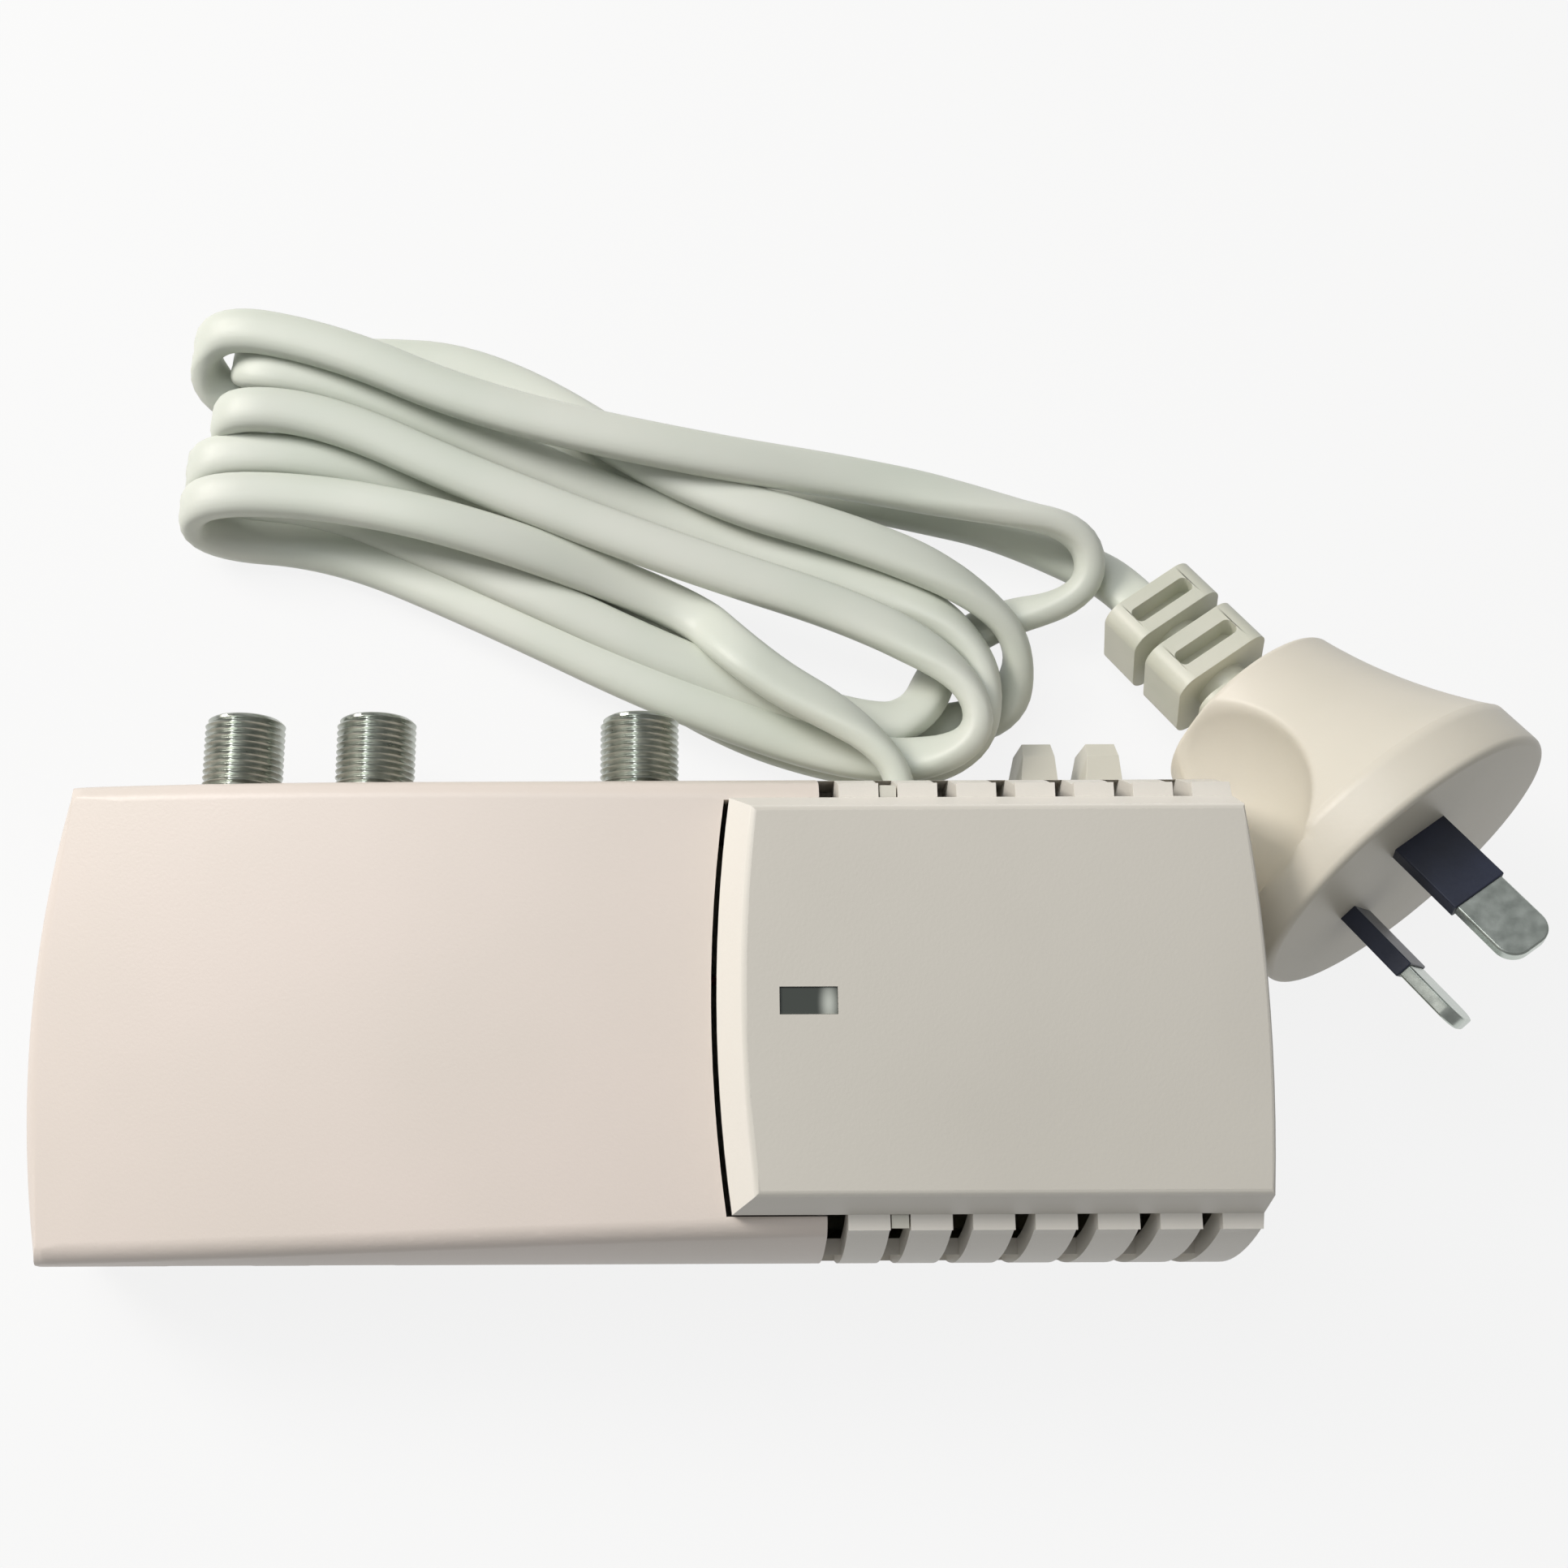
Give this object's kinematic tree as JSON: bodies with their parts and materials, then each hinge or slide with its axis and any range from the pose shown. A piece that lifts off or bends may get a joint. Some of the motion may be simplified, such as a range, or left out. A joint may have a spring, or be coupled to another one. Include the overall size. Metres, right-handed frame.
{
  "type": "tv signal amplifier",
  "caption": "Indoor aerial signal amplifier in a moulded case with threaded coaxial sockets, gain trimmers, vented mains section and a hanked cord with a flat-pin plug.",
  "frame": {"origin": "middle of the flat back of the case", "axes": "+X along the case towards the mains section, +Y towards the sockets, +Z out of the front"},
  "size_m": [0.1755, 0.1218, 0.0402],
  "materials": {
    "case_white": "off-white moulded ABS, fine satin texture",
    "lid_white": "off-white moulded ABS, fine satin texture",
    "rear_white": "off-white moulded ABS",
    "smoked_window": "smoked acrylic",
    "lamp_green": "tinted epoxy lens",
    "tin_plate": "tinned steel sheet",
    "socket_metal": "nickel plate",
    "insulator_white": "white polyethylene",
    "contact_brass": "bright brass",
    "board_green": "glass-fibre board",
    "trimmer_body": "dark moulded nylon",
    "rotor_white": "pale moulded nylon",
    "ferrite": "sintered ferrite",
    "wire_red": "insulated wire",
    "wire_brown": "insulated wire",
    "core_steel": "silicon steel laminations",
    "winding_tape": "taped copper winding",
    "can_sleeve": "shrunk sleeve",
    "chip_black": "moulded epoxy",
    "fuse_glass": "clear glass tube",
    "screw_steel": "zinc plate",
    "clamp_black": "moulded nylon",
    "cord_white": "white flexible PVC",
    "plug_white": "white moulded PVC",
    "pin_brass": "nickel-plated brass",
    "sleeve_navy": "navy insulating sleeve"
  },
  "bodies": {
    "amplifier": {"case_screws": "screw_steel", "cord_clamp": "clamp_black", "cord_exit_run": "cord_white", "cord_hank": "cord_white", "cord_plug_run": "cord_white", "feedthrough": "tin_plate", "filter_cans": "tin_plate", "fuse_caps": "socket_metal", "fuse_clips": "tin_plate", "fuse_tube": "fuse_glass", "input_socket_body": "socket_metal", "input_socket_contact": "contact_brass", "input_socket_insulator": "insulator_white", "led": "lamp_green", "led_leads": "tin_plate", "led_window": "smoked_window", "left_gain_trimmer": "trimmer_body", "loop_socket_body": "socket_metal", "loop_socket_contact": "contact_brass", "loop_socket_insulator": "insulator_white", "main_cover": "case_white", "mains_wires": "wire_brown", "output_socket_body": "socket_metal", "output_socket_contact": "contact_brass", "output_socket_insulator": "insulator_white", "pin_sleeves": "sleeve_navy", "plug_body": "plug_white", "plug_pins": "pin_brass", "plug_relief": "plug_white", "psu_board": "board_green", "psu_cover": "lid_white", "rear_case": "rear_white", "rectifier_diodes": "chip_black", "regulator": "chip_black", "rf_board": "board_green", "rf_chassis": "tin_plate", "rf_chassis_lid": "tin_plate", "rf_coils": "ferrite", "right_gain_trimmer": "trimmer_body", "smoothing_capacitor": "can_sleeve", "supply_link": "wire_red", "transformer_bobbin": "trimmer_body", "transformer_core": "core_steel", "transformer_winding": "winding_tape"},
    "left_rotor": {"left_gain_rotor": "rotor_white"},
    "right_rotor": {"right_gain_rotor": "rotor_white"}
  },
  "joints": [
    {"name": "left_gain_turn", "type": "hinge", "parent": "amplifier", "child": "left_rotor", "pos_m": [-0.047, -0.0192, 0.0134], "axis": [0, -1, 0], "range_deg": [-135, 135]},
    {"name": "right_gain_turn", "type": "hinge", "parent": "amplifier", "child": "right_rotor", "pos_m": [-0.031, -0.0192, 0.0134], "axis": [0, -1, 0], "range_deg": [-135, 135]}
  ]
}
